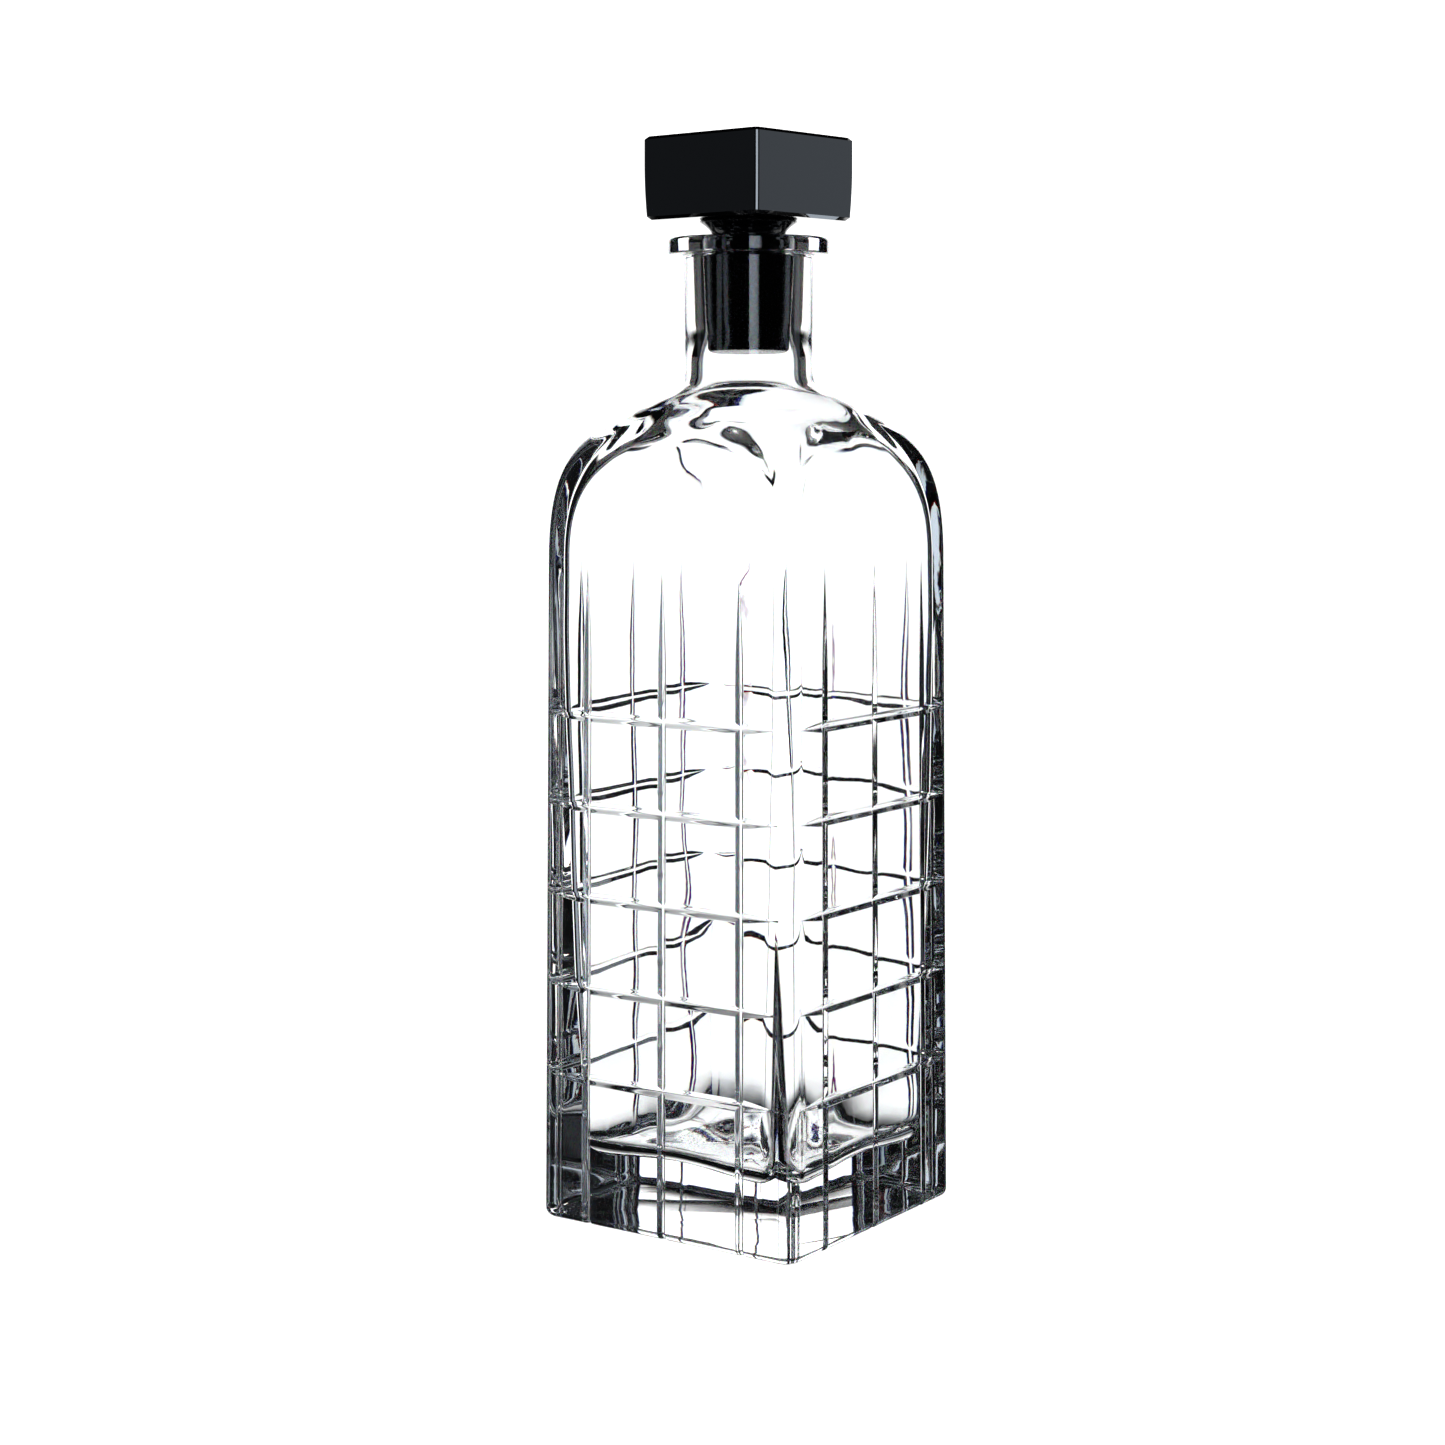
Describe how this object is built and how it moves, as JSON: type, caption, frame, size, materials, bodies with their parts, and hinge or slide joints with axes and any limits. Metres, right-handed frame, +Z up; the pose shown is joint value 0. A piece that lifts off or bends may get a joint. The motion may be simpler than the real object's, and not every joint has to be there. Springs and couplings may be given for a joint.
{
  "type": "cut crystal decanter",
  "caption": "Square cut crystal decanter with a round neck and flat lip, closed by a square-headed black glass stopper ground to fit the neck.",
  "frame": {"origin": "middle of the base, on the surface the decanter stands on", "axes": "+Z up along the neck; the bottle's four faces look along +X, -X, +Y and -Y"},
  "size_m": [0.0842, 0.0842, 0.301],
  "materials": {
    "clear_crystal": "polished clear crystal with wheel-cut grooves",
    "black_glass": "polished black glass with a ground plug"
  },
  "bodies": {
    "bottle": {"bottle": "clear_crystal"},
    "stopper": {"stopper": "black_glass"}
  },
  "joints": [
    {"name": "stopper_lift", "type": "slide", "parent": "bottle", "child": "stopper", "axis": [0, 0, 1], "range_m": [0, 0.06]}
  ]
}
